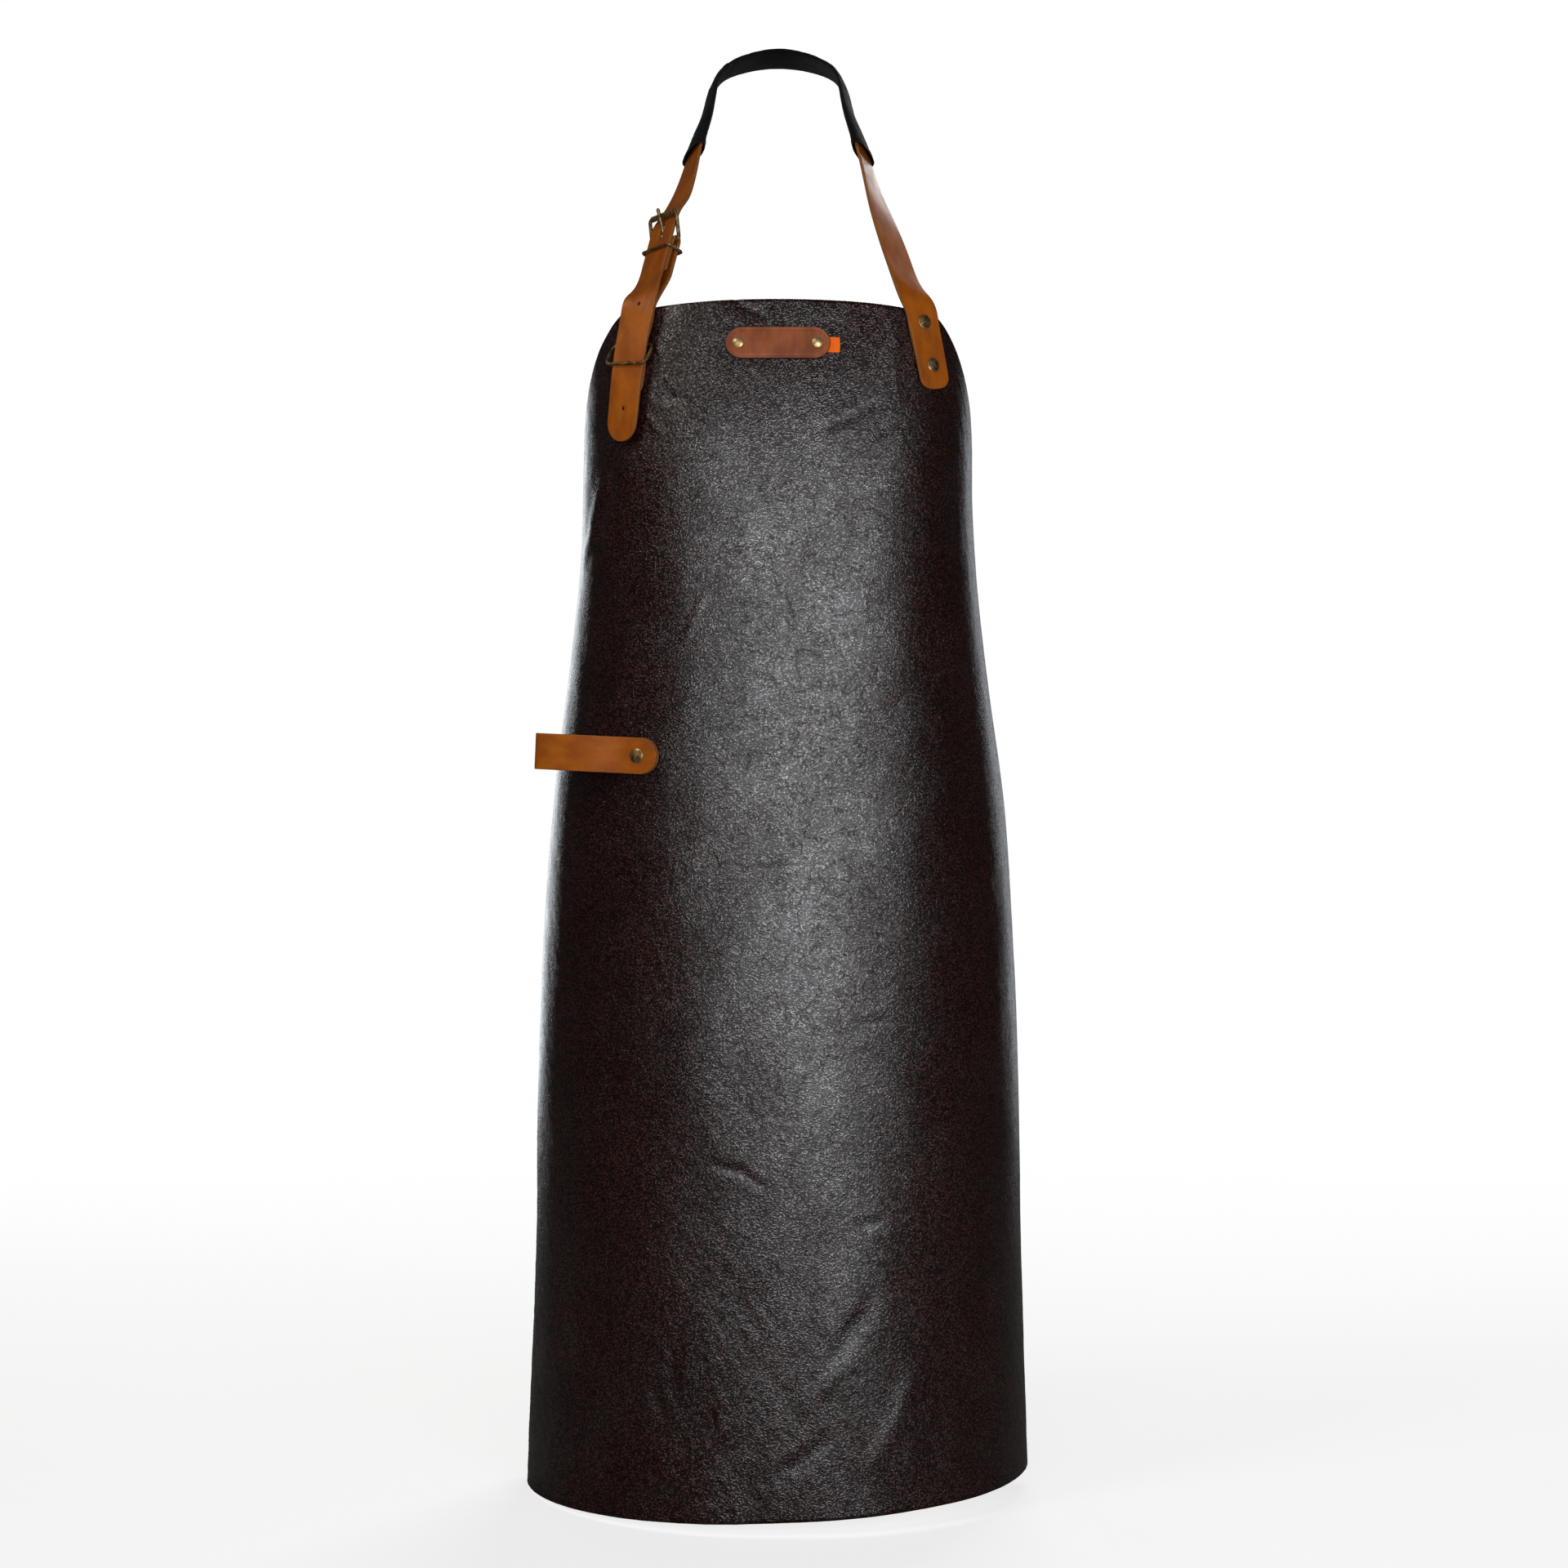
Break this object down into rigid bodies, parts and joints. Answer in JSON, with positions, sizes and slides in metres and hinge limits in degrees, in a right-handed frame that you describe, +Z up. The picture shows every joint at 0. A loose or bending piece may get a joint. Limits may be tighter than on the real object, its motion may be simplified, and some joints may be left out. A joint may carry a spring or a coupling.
{
  "type": "welding apron",
  "caption": "Full-length leather welding apron with a buckled neck loop, padded neck sleeve, badge, towel loop and buckled waist belt.",
  "frame": {"origin": "on the wearer's vertical axis, level with the lowest point of the hem", "axes": "+Z up, the wearer faces -Y, +X towards the wearer's left"},
  "size_m": [0.4345, 0.3188, 1.2586],
  "materials": {
    "panel_leather": "dark brown pebbled leather with a soft waxy sheen",
    "strap_leather": "smooth tan bridle leather, satin",
    "badge_leather": "oiled chestnut leather, satin",
    "sleeve_fabric": "soft black padded cloth, matte",
    "tab_fabric": "woven orange ribbon, matte",
    "antique_brass": "antique brass, rubbed bright on the high places",
    "badge_brass": "polished brass, lightly tarnished"
  },
  "bodies": {
    "apron": {"apron_panel": "panel_leather", "badge": "badge_leather", "side_tab": "tab_fabric", "neck_strap_rivet_caps": "antique_brass", "neck_strap_rivet_backs": "antique_brass", "buckle_strap_rivet_caps": "antique_brass", "buckle_strap_rivet_backs": "antique_brass", "badge_rivet_caps": "badge_brass", "badge_rivet_backs": "badge_brass", "towel_loop_rivet_caps": "antique_brass", "towel_loop_rivet_backs": "antique_brass", "waist_strap_rivet_caps": "antique_brass", "waist_strap_rivet_backs": "antique_brass", "waist_buckle_strap_rivet_caps": "antique_brass", "waist_buckle_strap_rivet_backs": "antique_brass"},
    "neck_loop": {"neck_strap": "strap_leather", "buckle_strap": "strap_leather", "neck_sleeve": "sleeve_fabric"},
    "neck_buckle": {"neck_buckle_frame": "antique_brass"},
    "neck_roller": {"neck_buckle_roller": "antique_brass"},
    "neck_prong": {"neck_buckle_prong": "antique_brass"},
    "neck_keeper_loop": {"neck_keeper": "antique_brass"},
    "waist_buckle": {"waist_buckle_frame": "antique_brass"},
    "waist_roller": {"waist_buckle_roller": "antique_brass"},
    "waist_prong": {"waist_buckle_prong": "antique_brass"},
    "waist_keeper_loop": {"waist_keeper": "antique_brass"},
    "tail_ring": {"neck_tail_ring": "antique_brass"},
    "towel_hanger": {"towel_loop": "strap_leather"},
    "waist_belt": {"waist_strap": "strap_leather", "waist_buckle_strap": "strap_leather"}
  },
  "joints": [
    {"name": "neck_loop_fold", "type": "hinge", "parent": "apron", "child": "neck_loop", "pos_m": [0, -0.118, 1.008], "axis": [1, 0, 0], "range_deg": [-80, 110], "deforming": ["neck_strap", "buckle_strap"]},
    {"name": "neck_buckle_rock", "type": "hinge", "parent": "neck_loop", "child": "neck_buckle", "pos_m": [-0.09343, -0.10326, 1.0548], "axis": [0.6538, -0.7519, 0.085], "range_deg": [0, 6]},
    {"name": "neck_roller_spin", "type": "hinge", "parent": "neck_buckle", "child": "neck_roller", "pos_m": [-0.09586, -0.10268, 1.07867], "axis": [0.6538, -0.7519, 0.085], "continuous": true},
    {"name": "neck_prong_lift", "type": "hinge", "parent": "neck_buckle", "child": "neck_prong", "pos_m": [-0.09343, -0.10326, 1.0548], "axis": [0.6538, -0.7519, 0.085], "range_deg": [0, 5]},
    {"name": "neck_keeper_slide", "type": "slide", "parent": "neck_loop", "child": "neck_keeper_loop", "axis": [0.2188, 0.2954, 0.93], "range_m": [-0.018, 0.003]},
    {"name": "tail_ring_swing", "type": "hinge", "parent": "apron", "child": "tail_ring", "pos_m": [-0.11843, -0.13135, 0.96637], "axis": [0.8607, -0.509, 0], "range_deg": [-20, 0]},
    {"name": "towel_loop_swivel", "type": "hinge", "parent": "apron", "child": "towel_hanger", "pos_m": [-0.11292, -0.13883, 0.62801], "axis": [-0.4685, -0.8834, 0.0078], "range_deg": [-45, 45]},
    {"name": "waist_belt_swing", "type": "hinge", "parent": "apron", "child": "waist_belt", "pos_m": [0, 0.03596, 0.69], "axis": [1, 0, 0], "range_deg": [-25, 25], "deforming": ["waist_strap", "waist_buckle_strap"]},
    {"name": "waist_buckle_rock", "type": "hinge", "parent": "waist_belt", "child": "waist_buckle", "pos_m": [0.01456, 0.12915, 0.69106], "axis": [0.0062, 0.1824, -0.9832], "range_deg": [0, 6]},
    {"name": "waist_roller_spin", "type": "hinge", "parent": "waist_buckle", "child": "waist_roller", "pos_m": [-0.00693, 0.13967, 0.69288], "axis": [0.0062, 0.1824, -0.9832], "continuous": true},
    {"name": "waist_prong_lift", "type": "hinge", "parent": "waist_buckle", "child": "waist_prong", "pos_m": [0.01456, 0.12915, 0.69106], "axis": [0.0062, 0.1824, -0.9832], "range_deg": [0, 5]},
    {"name": "waist_keeper_slide", "type": "slide", "parent": "waist_belt", "child": "waist_keeper_loop", "axis": [-0.9994, 0.0342, 0], "range_m": [-0.018, 0.003]}
  ]
}
